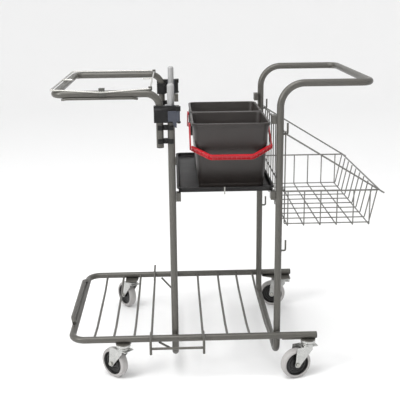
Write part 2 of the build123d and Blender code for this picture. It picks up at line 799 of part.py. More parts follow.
def basket_front():
    """Wires of the sloping front, up to the rim."""
    foot_x = basket_front_x - basket_front_slant
    lean = (basket_front_slant - 3.2) / (basket_rim_z - basket_floor_z)
    wires = []
    for i in range(long_wires):
        y = long_wire_y(i)
        rise = basket_rim_z - basket_floor_z - 4.8
        wires.append(straight((foot_x + 1.6, y, basket_floor_z + 0.6),
                              (foot_x + 1.6 + lean * rise - 3.4, y, basket_floor_z + rise), mesh_wire_d))
    return wires


def basket_back():
    """Tall back panel: upright wires from the floor to the wire that hangs on the hooks."""
    x = upright_x
    top = straight((basket_back_x, -post_y - 7, basket_top_z), (basket_back_x, post_y + 7, basket_top_z),
                   rim_wire_d)
    uprights = [straight((x, long_wire_y(i), basket_floor_z - 2), (x, long_wire_y(i), basket_top_z + 2),
                         mesh_wire_d) for i in range(long_wires)]
    return [top] + uprights


def basket_side(side):
    """Upright wires of one side, from the floor to the rim."""
    y = side * (basket_half_width + 1.6)
    return [straight((cross_wire_x(i), y, basket_floor_z - mesh_wire_d - 2),
                     (cross_wire_x(i), y, basket_rim_z - rim_wire_d / 2 - 0.1), mesh_wire_d)
            for i in range(cross_wires)]


def basket_rim():
    """Rim wire round the mouth, on three sides and across the back panel."""
    x0 = basket_back_x
    x1 = basket_front_x
    y = basket_half_width + 1.6
    z = basket_rim_z
    return bar([(x0, 0.1, z), (x0, y, z), (x1, y, z), (x1, -y, z), (x0, -y, z), (x0, -0.1, z)], 7, rim_wire_d)


def basket_stays():
    """Two slanting wires from the top of the back panel to the rim's front corners and past them."""
    y = basket_half_width + 1.6 + rim_wire_d + 0.1
    stays = []
    drop = (basket_top_z - basket_rim_z) / basket_length
    for s in (-1, 1):
        end_x = basket_front_x + stay_overhang
        start = (basket_back_x + 3, s * y, basket_top_z - 3 * drop - rim_wire_d / 2)
        stays.append(straight(start, (end_x, s * y, basket_rim_z - stay_overhang * drop), rim_wire_d))
    return stays


# ---- write every node ----

write("base_rail", base_rail())
write("rail_end_caps", *rail_end_caps())
write("deck_rods", *[deck_rod(x) for x in deck_rod_x])
write("side_rack", *side_rack())
write("end_fence", end_fence())
write("front_hoop", front_hoop())
write("post_tops", post_top(-1), post_top(1))
write("rear_hoop_handle", rear_hoop_handle())
write("upper_brackets", *brackets(upper_bracket_z + bracket_height, near_front=False))
write("lower_brackets", *brackets(tray_floor_z - seat_gap))
write("upper_hooks", basket_hook(-1, upper_hook_z), basket_hook(1, upper_hook_z))
write("lower_hooks", basket_hook(-1, lower_hook_z), basket_hook(1, lower_hook_z))
write("hoop_braces", hoop_brace(-1), hoop_brace(1))
write("caster_plates", *[caster_plate(name) for name in casters])
write("caster_heads", *[caster_head(name) for name in casters])
write("king_pins", *[king_pin(name) for name in casters])
for name in casters:
    write(f"fork_{name}", fork(name))
    write(f"axle_{name}", *axle(name))
    write(f"hub_{name}", hub(name))
    write(f"tyre_{name}", tyre(name))
write("tray", tray())
write("tray_clip", tray_clip())
write("bucket_near", bucket(-1))
write("bucket_far", bucket(1))
write("bail_near", bail(-1))
write("bail_far", bail(1))
write("bag_hoop_tube", bag_hoop_tube())
write("leg_plugs", *leg_plugs())
write("bag_strip", bag_strip())
write("wire_catch", wire_catch())
write("wire_eyes", wire_eye(-1), wire_eye(1))
write("spacer_clips", *[spacer_clip(side, z) for side in (-1, 1) for z in clip_z])
write("clamp_near", clamp(-1, near_clamp_z))
write("clamp_far", clamp(1, far_clamp_z))
write("clamp_sleeves", clamp_sleeve(-1, near_clamp_z), clamp_sleeve(1, far_clamp_z))
write("clamp_lever_near", clamp_lever(-1, near_clamp_z))
write("clamp_lever_far", clamp_lever(1, far_clamp_z))
write("lever_pins", lever_pin(-1, near_clamp_z), lever_pin(1, far_clamp_z))
write("wire_frame", *wire_frame())
write("basket_rim", basket_rim())
write("basket_floor", *basket_floor())
write("basket_front", *basket_front())
write("basket_back", *basket_back())
write("basket_side_near", *basket_side(-1))
write("basket_side_far", *basket_side(1))
write("basket_stays", *basket_stays())
print("origin_x", origin_x)
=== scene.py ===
import json
import math

import bmesh
import bpy
from mathutils import Matrix, Vector

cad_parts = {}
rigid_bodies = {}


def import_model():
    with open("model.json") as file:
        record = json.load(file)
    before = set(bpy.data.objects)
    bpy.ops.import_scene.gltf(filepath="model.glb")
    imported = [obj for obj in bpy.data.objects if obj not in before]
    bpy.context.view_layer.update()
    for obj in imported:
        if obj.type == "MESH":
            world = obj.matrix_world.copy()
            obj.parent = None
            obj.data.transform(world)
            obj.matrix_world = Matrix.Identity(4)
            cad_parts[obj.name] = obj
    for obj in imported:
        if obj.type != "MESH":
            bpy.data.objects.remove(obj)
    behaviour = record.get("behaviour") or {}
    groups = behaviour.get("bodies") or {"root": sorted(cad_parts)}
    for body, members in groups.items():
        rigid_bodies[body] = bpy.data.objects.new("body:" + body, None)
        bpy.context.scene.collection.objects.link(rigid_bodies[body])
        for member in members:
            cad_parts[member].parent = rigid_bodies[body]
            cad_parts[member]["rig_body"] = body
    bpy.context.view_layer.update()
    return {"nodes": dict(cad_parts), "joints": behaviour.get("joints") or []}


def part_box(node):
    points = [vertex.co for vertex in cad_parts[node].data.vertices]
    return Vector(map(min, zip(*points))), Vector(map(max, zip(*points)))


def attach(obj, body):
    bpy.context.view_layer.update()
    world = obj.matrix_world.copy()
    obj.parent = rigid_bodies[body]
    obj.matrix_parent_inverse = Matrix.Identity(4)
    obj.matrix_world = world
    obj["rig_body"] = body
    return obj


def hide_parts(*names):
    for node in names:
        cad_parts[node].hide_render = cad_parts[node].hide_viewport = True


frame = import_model()
nodes = frame["nodes"]
mm = 0.001


# ---- Studio ----
# A plain pale floor that curves up into a wall all round, an even sky, one large soft light above
# the cart and one at its left.

camera_place = (-0.1406, -2.5597, 1.2219)
camera_yaw = 0.0329
camera_pitch = 0.2670
camera_roll = -0.0107
camera_lens = 69.15
bowl_radius = 9.0
bowl_curve = 3.0                 # radius of the bend from the floor up into the wall
bowl_height = 7.0
bowl_middle = 2.0                # radius of the disc at its centre
bowl_steps = 96
curve_steps = 16
floor_clouds = 3.0               # soft patches in each metre
sky_strength = 1.0
# name, place, size in metres, power in watts
lamps = [("top_light", (-0.6, -0.8, 3.2), 2.0, 45), ("left_light", (-2.6, -1.8, 2.2), 1.2, 50)]
aim_height = 0.5                 # the lamps point at the cart's middle


def linear(hex_colour):
    """Linear colour of an sRGB hex value."""
    values = [int(hex_colour[i:i + 2], 16) / 255 for i in (1, 3, 5)]
    return [v / 12.92 if v <= 0.04045 else ((v + 0.055) / 1.055) ** 2.4 for v in values] + [1.0]


def live(sockets, key=None):
    """The socket of that name that is in use, or the first one in use."""
    return next((s for s in sockets if s.enabled and key in (None, s.name)), None)


def plug(material, node, links):
    """Links sockets of a node from other nodes, or from one of their sockets."""
    for key, source in links.items():
        output = source if isinstance(source, bpy.types.NodeSocket) else live(source.outputs)
        material.node_tree.links.new(output, live(node.inputs, key))


def add_node(material, kind, settings=None, links=None):
    """One shader node: settings go to its own properties or its sockets, links come from other nodes."""
    node = material.node_tree.nodes.new(kind)
    for key, value in (settings or {}).items():
        if live(node.inputs, key):
            live(node.inputs, key).default_value = value
        else:
            setattr(node, key, value)
    plug(material, node, links or {})
    return node


def new_material(name, colour, **shader):
    """Material with one Principled shader; returns the material and its shader."""
    material = bpy.data.materials.new(name)
    material.use_nodes = True
    surface = material.node_tree.nodes["Principled BSDF"]
    surface.inputs["Base Color"].default_value = linear(colour)
    for key, value in shader.items():
        surface.inputs[key.replace("_", " ")].default_value = value
    return material, surface


def bowl():
    """Round floor whose edge curves up into a wall."""
    bm = bmesh.new()
    angles = [math.pi / 2 * step / curve_steps for step in range(curve_steps + 1)]
    curve = [(bowl_radius - bowl_curve * (1 - math.sin(a)), bowl_curve * (1 - math.cos(a))) for a in angles]
    profile = [(0, 0), (bowl_middle, 0)] + curve + [(bowl_radius, bowl_height)]
    outline = [bm.verts.new((x, 0, z)) for x, z in profile]
    edges = [bm.edges.new(pair) for pair in zip(outline, outline[1:])]
    bmesh.ops.spin(bm, geom=outline + edges, cent=(0, 0, 0), axis=(0, 0, 1), dvec=(0, 0, 0),
                   angle=math.tau, steps=bowl_steps, use_merge=True)
    bmesh.ops.remove_doubles(bm, verts=bm.verts, dist=0.1 * mm)
    bmesh.ops.recalc_face_normals(bm, faces=bm.faces)
    mesh = bpy.data.meshes.new("floor")
    bm.to_mesh(mesh)
    bm.free()
    mesh.polygons.foreach_set("use_smooth", [True] * len(mesh.polygons))
    floor = bpy.data.objects.new("floor", mesh)
    bpy.context.scene.collection.objects.link(floor)
    return floor


def studio():
    """Floor, sky and lamps."""
    floor = bowl()
    pale, surface = new_material("pale_floor", "#f7f7f7", Roughness=0.9)
    grain = add_node(pale, "ShaderNodeTexNoise", {"Scale": floor_clouds, "Detail": 2.0})
    tint = add_node(pale, "ShaderNodeMix",
                    {"data_type": "RGBA", "A": linear("#f8f8f8"), "B": linear("#f4f4f4")},
                    {"Factor": grain})
    plug(pale, surface, {"Base Color": tint})
    floor.data.materials.append(pale)
    sky = bpy.data.worlds.new("sky")
    bpy.context.scene.world = sky
    sky.use_nodes = True
    glow = sky.node_tree.nodes["Background"]
    glow.inputs["Color"].default_value = linear("#ffffff")
    glow.inputs["Strength"].default_value = sky_strength
    for name, place, size, power in lamps:
        lamp = bpy.data.lights.new(name, "AREA")
        lamp.shape = "DISK"
        lamp.size = size
        lamp.energy = power
        light = bpy.data.objects.new(name, lamp)
        light.location = place
        aim = Vector((0, 0, aim_height)) - Vector(place)
        light.rotation_euler = aim.to_track_quat("-Z", "Y").to_euler()
        bpy.context.scene.collection.objects.link(light)


def camera():
    """Camera in front of the near side, above the handle, that looks slightly down."""
    view = bpy.data.cameras.new("camera")
    view.lens = camera_lens
    view.sensor_width = 36
    holder = bpy.data.objects.new("camera", view)
    turn = Matrix.Rotation(-camera_yaw, 4, "Z") @ Matrix.Rotation(math.pi / 2 - camera_pitch, 4, "X")
    holder.matrix_world = Matrix.Translation(camera_place) @ turn @ Matrix.Rotation(camera_roll, 4, "Z")
    bpy.context.scene.collection.objects.link(holder)
    bpy.context.scene.camera = holder


studio()
camera()
bpy.context.scene.view_settings.view_transform = "Standard"


# ---- Frame tube and bar ----
# Welded from 22 mm steel tube and 8 mm bar, then powder coated silver grey: a satin film with metal
# flake in it and a faint orange peel, slightly duller where dust has rubbed in.

peel_mm = 1.6                    # real peel is near 1 mm; drawn a little coarser so that it shows
peel_depth_mm = 0.12
flake_mm = 0.9                   # real flake is under 0.1 mm; drawn coarser so that it shows
dust_clouds = 14.0               # patches of dust in each metre
merge_mm = 0.01                  # points of a mesh that are nearer than this are one
flat_angle = math.radians(1.0)   # faces that differ by less are one flat face
edge_angle = math.radians(40)    # an edge sharper than this is rounded over
frame_nodes = ["base_rail", "deck_rods", "side_rack", "end_fence", "front_hoop", "rear_hoop_handle",
               "upper_hooks", "lower_hooks", "hoop_braces", "bag_hoop_tube", "bag_strip"]
# folded and pressed pieces, with the rounding of their edges in millimetres
pressed_frame_nodes = {"upper_brackets": 0.6, "lower_brackets": 0.6, "caster_plates": 0.5, "wire_eyes": 0.8}


def powder_coat():
    """Silver grey powder coat: flake in two tones, dust in soft clouds, orange peel as a bump."""
    material, surface = new_material("silver_powder_coat", "#55534f", Metallic=0.4, Roughness=0.38)
    place = add_node(material, "ShaderNodeTexCoord").outputs["Object"]
    flake = add_node(material, "ShaderNodeTexNoise", {"Scale": 1 / (flake_mm * mm), "Detail": 1.0},
                     {"Vector": place})
    clouds = add_node(material, "ShaderNodeTexNoise", {"Scale": dust_clouds, "Detail": 4.0},
                      {"Vector": place})
    tone = add_node(material, "ShaderNodeMix",
                    {"data_type": "RGBA", "A": linear("#454440"), "B": linear("#66645f")},
                    {"Factor": flake})
    dust = add_node(material, "ShaderNodeMapRange",
                    {"From Min": 0.42, "From Max": 0.75, "To Min": 0.0, "To Max": 0.25},
                    {"Value": clouds})
    worn = add_node(material, "ShaderNodeMix", {"data_type": "RGBA", "B": linear("#5f5b55")},
                    {"Factor": dust, "A": tone})
    gloss = add_node(material, "ShaderNodeMapRange", {"To Min": 0.3, "To Max": 0.46}, {"Value": clouds})
    peel = add_node(material, "ShaderNodeTexNoise", {"Scale": 1 / (peel_mm * mm), "Detail": 0.0},
                    {"Vector": place})
    bump = add_node(material, "ShaderNodeBump", {"Strength": 0.10, "Distance": peel_depth_mm * mm},
                    {"Height": peel})
    plug(material, surface, {"Base Color": worn, "Roughness": gloss, "Normal": bump})
    return material


def paint(piece, material):
    """Gives a piece or a CAD node one material."""
    piece.data.materials.clear()
    piece.data.materials.append(material)


def new_piece(name, bm, body, material, finish, *stands_for, smooth=35):
    """Mesh piece from a bmesh, in place, riding on a body and standing for CAD nodes.

    Faces that meet at less than smooth, in degrees, shade as one surface.
    """
    mesh = bpy.data.meshes.new(name)
    bmesh.ops.recalc_face_normals(bm, faces=bm.faces)
    bm.to_mesh(mesh)
    bm.free()
    mesh.polygons.foreach_set("use_smooth", [True] * len(mesh.polygons))
    mesh.set_sharp_from_angle(angle=math.radians(smooth))
    piece = bpy.data.objects.new(name, mesh)
    bpy.context.scene.collection.objects.link(piece)
    paint(piece, material)
    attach(piece, body)
    if stands_for:
        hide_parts(*stands_for)
    return piece


def round_edges(piece, width_mm, segments=3, harden=True):
    """Rounds a piece's sharp edges over with a live bevel."""
    rounding = piece.modifiers.new("rounding", "BEVEL")
    rounding.width = width_mm * mm
    rounding.segments = segments
    rounding.limit_method = "ANGLE"
    rounding.angle_limit = edge_angle
    rounding.harden_normals = harden


def eased(node, name, width_mm, material, finish):
    """Copy of a CAD node which stands for it, with its edges rounded over unless the width is 0."""
    source = nodes[node]
    bm = bmesh.new()
    bm.from_mesh(source.data)
    bmesh.ops.remove_doubles(bm, verts=bm.verts, dist=merge_mm * mm)
    bmesh.ops.dissolve_limit(bm, angle_limit=flat_angle, verts=bm.verts, edges=bm.edges)
    piece = new_piece(name, bm, source["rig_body"], material, finish, node)
    if width_mm:
        round_edges(piece, width_mm)


silver_powder_coat = powder_coat()
for name in frame_nodes:
    eased(name, name + "_painted", 0, silver_powder_coat, "frame_paint")
for name, width in pressed_frame_nodes.items():
    eased(name, name + "_painted", width, silver_powder_coat, "frame_paint")


# ---- Weld beads ----
# Small fillets of weld, under the same paint, where each deck bar meets the rails and where the two
# hoops cross them.

tube_radius = 11
rail_low, rail_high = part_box("base_rail")
rail_y = rail_high.y - tube_radius * mm
rail_z = (rail_low.z + rail_high.z) / 2
# middles of the six deck bars and of the two hoops along the rails, in metres
bar_x = [-0.41175, -0.34875, -0.28275, 0.01925, 0.09125, 0.15525]
hoop_x = [-0.14975, 0.18025]
bar_bead = (13, 5, 11)           # along the rail, across it and up
bar_bead_in = 11.5               # inwards from the rail's middle
bar_bead_drop = 2
hoop_bead = (14, 4, 5)
hoop_bead_in = 11.1
hoop_bead_rise = 7               # one bead above the rail's middle and one below it


def weld_bead(bm, place, size):
    """Flattened ball of weld; its size is in millimetres."""
    made = bmesh.ops.create_icosphere(bm, subdivisions=3, radius=0.5)["verts"]
    bmesh.ops.scale(bm, vec=[extent * mm for extent in size], verts=made)
    bmesh.ops.translate(bm, vec=place, verts=made)


def weld_beads():
    """All the beads of the frame as one piece."""
    bm = bmesh.new()
    for side in (-1, 1):
        for x in bar_x:
            weld_bead(bm, (x, side * (rail_y - bar_bead_in * mm), rail_z - bar_bead_drop * mm), bar_bead)
        for x in hoop_x:
            for end in (-1, 1):
                place = (x, side * (rail_y - hoop_bead_in * mm), rail_z + end * hoop_bead_rise * mm)
                weld_bead(bm, place, hoop_bead)
    new_piece("weld_beads", bm, "frame", silver_powder_coat, "frame_paint", smooth=80)


weld_beads()


# ---- Plastic plugs and post tops ----
# Push-in plugs of black polyethylene close the tubes' ends. The two tall tops on the front posts are
# light grey, and a little cloudy from handling.

plastic_clouds = 18.0            # patches of tone and sheen in each metre


def moulded_plastic(name, light, dark, roughness, grain_mm, bump_depth=0.05, **shader):
    """Injection-moulded plastic: two close tones, a fine spark-eroded grain, uneven sheen."""
    material, surface = new_material(name, light, Roughness=roughness, **shader)
    place = add_node(material, "ShaderNodeTexCoord").outputs["Object"]
    clouds = add_node(material, "ShaderNodeTexNoise", {"Scale": plastic_clouds, "Detail": 3.0},
                      {"Vector": place})
    tone = add_node(material, "ShaderNodeMix", {"data_type": "RGBA", "A": linear(light), "B": linear(dark)},
                    {"Factor": clouds})
    sheen = add_node(material, "ShaderNodeMapRange", {"To Min": roughness - 0.06, "To Max": roughness + 0.08},
                     {"Value": clouds})
    grain = add_node(material, "ShaderNodeTexNoise", {"Scale": 1 / (grain_mm * mm), "Detail": 2.0},
                     {"Vector": place})
    bump = add_node(material, "ShaderNodeBump", {"Strength": 0.25, "Distance": bump_depth * mm},
                    {"Height": grain})
    plug(material, surface, {"Base Color": tone, "Roughness": sheen, "Normal": bump})
    return material


black_polyethylene = moulded_plastic("black_polyethylene", "#1b1b1c", "#111112",
                                     roughness=0.45, grain_mm=0.8)
light_polyethylene = moulded_plastic("light_grey_polyethylene", "#a3a3a3", "#8c8c8c",
                                     roughness=0.4, grain_mm=1.0)
eased("rail_end_caps", "rail_end_caps_moulded", 0.3, black_polyethylene, "black_plastic")
eased("leg_plugs", "leg_plugs_moulded", 0.3, black_polyethylene, "black_plastic")
eased("post_tops", "post_tops_moulded", 0, light_polyethylene, "light_plastic")


# ---- Casters ----
# Pressed steel forks, races and bolts, zinc plated: bright, with the soft cloudy patches of plating.
# The wheels have a black polypropylene centre with raised rings and a grey non-marking rubber tread.

plating_clouds = 60.0            # patches of tone in each metre
plating_depth_mm = 0.05
spangle_mm = 3.0                 # patches of haze
hub_bore = 4.05                  # clears the bolt
wheel_radius = 50


def zinc_plate(name, light, dark, roughness):
    """Plated steel: two close tones in small clouds, and a haze that changes from patch to patch."""
    material, surface = new_material(name, light, Metallic=1.0, Roughness=roughness)
    place = add_node(material, "ShaderNodeTexCoord").outputs["Object"]
    clouds = add_node(material, "ShaderNodeTexNoise", {"Scale": plating_clouds, "Detail": 4.0},
                      {"Vector": place})
    spangle = add_node(material, "ShaderNodeTexVoronoi", {"Scale": 1 / (spangle_mm * mm)}, {"Vector": place})
    tone = add_node(material, "ShaderNodeMix", {"data_type": "RGBA", "A": linear(light), "B": linear(dark)},
                    {"Factor": clouds})
    haze = add_node(material, "ShaderNodeMapRange", {"To Min": roughness - 0.08, "To Max": roughness + 0.12},
                    {"Value": spangle})
    bump = add_node(material, "ShaderNodeBump", {"Strength": 0.12, "Distance": plating_depth_mm * mm},
                    {"Height": clouds})
    plug(material, surface, {"Base Color": tone, "Roughness": haze, "Normal": bump})
    return material


def ring(bm, outline, steps=64):
    """Ring turned about Y from (radius, y) points in millimetres, closed on itself."""
    verts = [bm.verts.new((r * mm, y * mm, 0)) for r, y in outline]
    edges = [bm.edges.new((verts[i], verts[(i + 1) % len(verts)])) for i in range(len(verts))]
    bmesh.ops.spin(bm, geom=verts + edges, cent=(0, 0, 0), axis=(0, 1, 0), dvec=(0, 0, 0),
                   angle=math.tau, steps=steps, use_merge=True)
    bmesh.ops.remove_doubles(bm, verts=bm.verts, dist=0.001 * mm)


def joint(name):
    """The frame's entry for a joint."""
    return next(j for j in frame["joints"] if j["name"] == name)


def wheel_place(name):
    """Turns a wheel modelled about Y at the origin into its place on the axle."""
    spin = joint("spin_" + name)
    turn = Vector((0, 1, 0)).rotation_difference(Vector(spin["axis"])).to_matrix().to_4x4()
    return Matrix.Translation(spin["pos_m"]) @ turn


def mirrored(half):
    """Closed outline from its half on one side of the wheel's middle."""
    return half + [(r, -y) for r, y in reversed(half)]


# radius and distance from the wheel's middle, in millimetres, from the inside out
hub_boss = [(hub_bore, 15.6), (10, 15.7), (11, 15), (12.2, 7), (14, 5.5)]
hub_rings = [(19, 5.0), (20, 6.6), (21.6, 6.6), (22.6, 4.6), (27, 4.4), (28, 6.2), (30, 6.2), (31, 4.8)]
hub_rim = [(34.5, 5.5), (36, 10.8), (37.5, 12.6), (39, 12.6)]
hub_outline = mirrored(hub_boss + hub_rings + hub_rim)
tread_outline = mirrored([(39, 12.6), (39.8, 13.7), (42, 14), (44.5, 13.6), (47, 12.3), (48.7, 10),
                          (49.7, 6.5), (49.98, 3), (wheel_radius, 0.6)])
zinc_pressing = zinc_plate("zinc_plated_pressing", "#c9c9c6", "#a2a3a2", roughness=0.28)
zinc_bolt = zinc_plate("zinc_plated_bolt", "#bdbcb6", "#9c9b97", roughness=0.24)
black_polypropylene = moulded_plastic("black_polypropylene", "#191817", "#0f0f0f",
                                      roughness=0.38, grain_mm=0.9)
grey_rubber = moulded_plastic("grey_rubber", "#b3b0ae", "#9b9998", roughness=0.62, grain_mm=1.1,
                              bump_depth=0.09)
for name in ("near_left", "near_right", "far_left", "far_right"):
    for part, outline, material, finish in (("hub_", hub_outline, black_polypropylene, "hub_plastic"),
                                            ("tyre_", tread_outline, grey_rubber, "grey_tread")):
        bm = bmesh.new()
        ring(bm, outline)
        bmesh.ops.transform(bm, matrix=wheel_place(name), verts=bm.verts)
        new_piece(part + name + "_turned", bm, "wheel_" + name, material, finish, part + name)
    eased("fork_" + name, "fork_" + name + "_pressed", 0.8, zinc_pressing, "zinc_steel")
    eased("axle_" + name, "axle_" + name + "_plated", 0.5, zinc_bolt, "bolt_steel")
eased("caster_heads", "caster_heads_pressed", 0.8, zinc_pressing, "zinc_steel")
eased("king_pins", "king_pins_plated", 0.5, zinc_bolt, "bolt_steel")


# ---- Tray ----
# Shallow tray moulded in black ABS, with a flat rim turned down at its edge. Its floor is smooth and
# takes a soft shine. The bent strip of steel hooked over the near rim is a label clip.

tray_corner = 16
tray_rim = 5
tray_wall = 3
end_step = 2                     # from a flat end's edge to the ring inside it


def rounded_loop(bm, middle, size, corner_mm, z, steps=9):
    """Vertices of a rounded rectangle at one height, in order round it."""
    r = corner_mm * mm
    loop = []
    for corner, (sx, sy) in enumerate(((1, 1), (-1, 1), (-1, -1), (1, -1))):
        for step in range(steps + 1):
            angle = math.pi / 2 * (corner + step / steps)
            x = middle.x + sx * (size[0] / 2 - r) + r * math.cos(angle)
            y = middle.y + sy * (size[1] / 2 - r) + r * math.sin(angle)
            loop.append(bm.verts.new((x, y, z)))
    return loop


def moulded_tub(middle, top_size, rings):
    """Closed shell through rounded rectangles: each ring is (inset in mm, corner in mm, z in metres)."""
    bm = bmesh.new()
    # one more ring inside each end, so that the flat faces shade flat
    first, last = [(inset + end_step, corner - end_step, z) for inset, corner, z in (rings[0], rings[-1])]
    loops = []
    for inset, corner, z in [first, *rings, last]:
        size = [extent - 2 * inset * mm for extent in top_size]
        loops.append(rounded_loop(bm, middle, size, corner, z))
    # the rings' corners are joined one to one, since bridging pairs them askew
    for low, high in zip(loops, loops[1:]):
        for number in range(len(low)):
            bm.faces.new((low[number - 1], low[number], high[number], high[number - 1]))
    bm.faces.new(loops[0])
    bm.faces.new(loops[-1])
    return bm


def tray():
    """The tray from its underside up the wall, over the rim and down to the floor."""
    low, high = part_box("tray")
    rim, corner = tray_rim, tray_corner
    wall = rim + tray_wall
    floor = low.z + tray_wall * mm
    top = high.z
    outside = [(rim + 6, corner - 6, low.z), (rim + 2, corner - 2, low.z + 0.8 * mm),
               (rim + 0.3, corner, low.z + 3.5 * mm), (rim, corner, top - 5 * mm)]
    lip = [(1.6, corner + 3.4, top - 5 * mm), (0.2, corner + 4.8, top - 4.6 * mm),
           (0, corner + 5, top - 1.4 * mm), (0.5, corner + 4.5, top - 0.4 * mm), (1.6, corner + 3.4, top)]
    inside = [(wall - 1.5, corner - 1.5, top), (wall - 0.4, corner - 2.4, top - 0.5 * mm),
              (wall, corner - 3, top - 1.6 * mm), (wall + 0.4, corner - 3.4, floor + 5 * mm),
              (wall + 1.4, corner - 4, floor + 1.6 * mm), (wall + 4.5, corner - 6, floor)]
    bm = moulded_tub((low + high) / 2, (high.x - low.x, high.y - low.y), outside + lip + inside)
    new_piece("tray_moulded", bm, "tray", black_abs, "tray_plastic", "tray", smooth=50)


black_abs = moulded_plastic("black_abs", "#1c1b1b", "#151414", roughness=0.46, grain_mm=1.4,
                            bump_depth=0.02, Specular_IOR_Level=0.3)
tray()
eased("tray_clip", "tray_clip_bent", 0.25, zinc_bolt, "bolt_steel")


# ---- Buckets ----
# Two equal square buckets moulded in charcoal polypropylene. Each has a rolled rim over a slight
# shoulder, a step at its foot, and a boss on two sides for the bail's pins.

bucket_across = 236
bucket_wall = 2.5
bucket_taper = 16                # from the top to the foot, on each side
bucket_corner = 22
corner_share = 0.4               # share of the taper by which the corners tighten
rim_out = 5
rim_height = 9
foot_groove = 0.6
boss_size = (6.5, 34, 42)        # out from the wall, along it and up
boss_drop = 12                   # from the rim's top to the boss's
boss_inside = 0.05               # its outer face lies this far inside the rim's
boss_edge = 3.5                  # border round the sunk part of its face
boss_sunk = 0.9
boss_rounding = 0.9


def bucket(side):
    """One bucket from its foot up the wall, over the rim and down to the floor inside."""
    low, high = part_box("bucket_" + side)
    middle = (low + high) / 2
    outer = (bucket_across * mm + 2 * rim_out * mm, high.y - low.y)
    height = (high.z - low.z) / mm

    def ring_at(out, z_mm):
        """Ring on the tapered wall at a height, moved out by some millimetres."""
        taper = bucket_taper * (1 - z_mm / height)
        return (rim_out + taper - out, bucket_corner - taper * corner_share + out, low.z + z_mm * mm)

    inner = -bucket_wall
    under_rim = height - rim_height
    foot = [ring_at(-9, 2.0), ring_at(-5, 0), ring_at(-2, 0.4), ring_at(-0.5, 2.2), ring_at(0, 5),
            ring_at(0, 12), ring_at(-foot_groove, 13.5), ring_at(0, 15)]
    shoulder = [ring_at(0, under_rim - 14), ring_at(0.9, under_rim - 12), ring_at(1.1, under_rim - 1.5),
                ring_at(1.0, under_rim)]
    rim = [ring_at(rim_out - 0.6, under_rim - 0.6), ring_at(rim_out, under_rim + 0.8),
           ring_at(rim_out, height - 2.4), ring_at(rim_out - 0.8, height - 0.7),
           ring_at(rim_out - 2.4, height)]
    inside = [ring_at(inner + 1.2, height), ring_at(inner + 0.2, height - 0.8), ring_at(inner, height - 2.5),
              ring_at(inner, 14), ring_at(inner - 0.6, 7), ring_at(inner - 2.4, 3.8),
              ring_at(inner - 7, 2.6)]
    bm = moulded_tub(middle, outer, foot + shoulder + rim + inside)
    new_piece("bucket_" + side + "_moulded", bm, "bucket_" + side, charcoal_polypropylene,
              "bucket_plastic", "bucket_" + side, smooth=60)
    bosses(side, low, high, middle)


def bosses(side, low, high, middle):
    """The two bosses that hold the bail's pins, with a sunk face."""
    bm = bmesh.new()
    thick, width, tall = boss_size
    top = high.z - boss_drop * mm
    for end in (-1, 1):
        face_x = high.x - boss_inside * mm if end > 0 else low.x + boss_inside * mm
        boss = bmesh.ops.create_cube(bm, size=1)["verts"]
        bmesh.ops.scale(bm, vec=(thick * mm, width * mm, tall * mm), verts=boss)
        place = (face_x - end * thick / 2 * mm, middle.y, top - tall / 2 * mm)
        bmesh.ops.translate(bm, vec=place, verts=boss)
        faces = {f for v in boss for f in v.link_faces}
        outer = max(faces, key=lambda f: end * f.calc_center_median().x)
        bmesh.ops.inset_region(bm, faces=[outer], thickness=boss_edge * mm, depth=0)
        bmesh.ops.translate(bm, vec=(-end * boss_sunk * mm, 0, 0), verts=outer.verts)
    bmesh.ops.bevel(bm, geom=bm.edges[:], offset=boss_rounding * mm, offset_type="OFFSET", segments=2,
                    profile=0.5, affect="EDGES", material=-1)
    new_piece("bucket_" + side + "_ears", bm, "bucket_" + side, charcoal_polypropylene, "bucket_plastic",
              "bucket_" + side)


charcoal_polypropylene = moulded_plastic("charcoal_polypropylene", "#332e2c", "#2a2624",
                                         roughness=0.36, grain_mm=1.3, bump_depth=0.05)
for side in ("near", "far"):
    bucket(side)


# ---- Bails ----
# Carrying handles moulded in red polypropylene: straps with a rail along each edge and cross ribs
# between, wider below the arms, and a pin at each end that turns in the bucket's boss.

arm_reach = 110                  # from the pins to the arms' lower ends
grip_reach = 158                 # from the pins to the grip
grip_half = 66
rest_angle = math.radians(29)
arm_thick = 5.0
# half width, rail width, thickness and rib spacing of each strap
arm_strap = (4.4, 2.0, arm_thick, 12)
grip_strap = (7.4, 2.6, 7.2, 15)
grip_start = 0.06                # share of the slope that the arm covers before the wide strap starts
strap_bend = 14
web_thick = 2.2
rail_proud = 0.8                 # the rails stand past the web's edges
rib_wide = 2.4
rib_sunk = 0.3                   # the ribs stay below the rails' faces
elbow_size = (5, 8, 14)          # block that joins an arm to the wide strap
# radius, outer face and inner face, counted outwards from the arm's middle
boss_and_pin = ((8, 2.5, -2.5), (4, 2, -7))
bail_rounding = 0.5
long_share = 1.5                 # a straight longer than this share of the bend gets points at its ends
end_share = 0.001


def along(points, spacing):
    """Places and directions spaced evenly along a line of points."""
    found = []
    for a, b in zip(points, points[1:]):
        count = max(1, round((b - a).length / spacing))
        found += [(a.lerp(b, (i + 0.5) / count), (b - a).normalized()) for i in range(count)]
    return found


def bar_block(bm, size, place, angle):
    """Plain block turned about Z."""
    made = bmesh.ops.create_cube(bm, size=1)["verts"]
    bmesh.ops.scale(bm, vec=size, verts=made)
    bmesh.ops.rotate(bm, matrix=Matrix.Rotation(angle, 3, "Z"), verts=made)
    bmesh.ops.translate(bm, vec=place, verts=made)


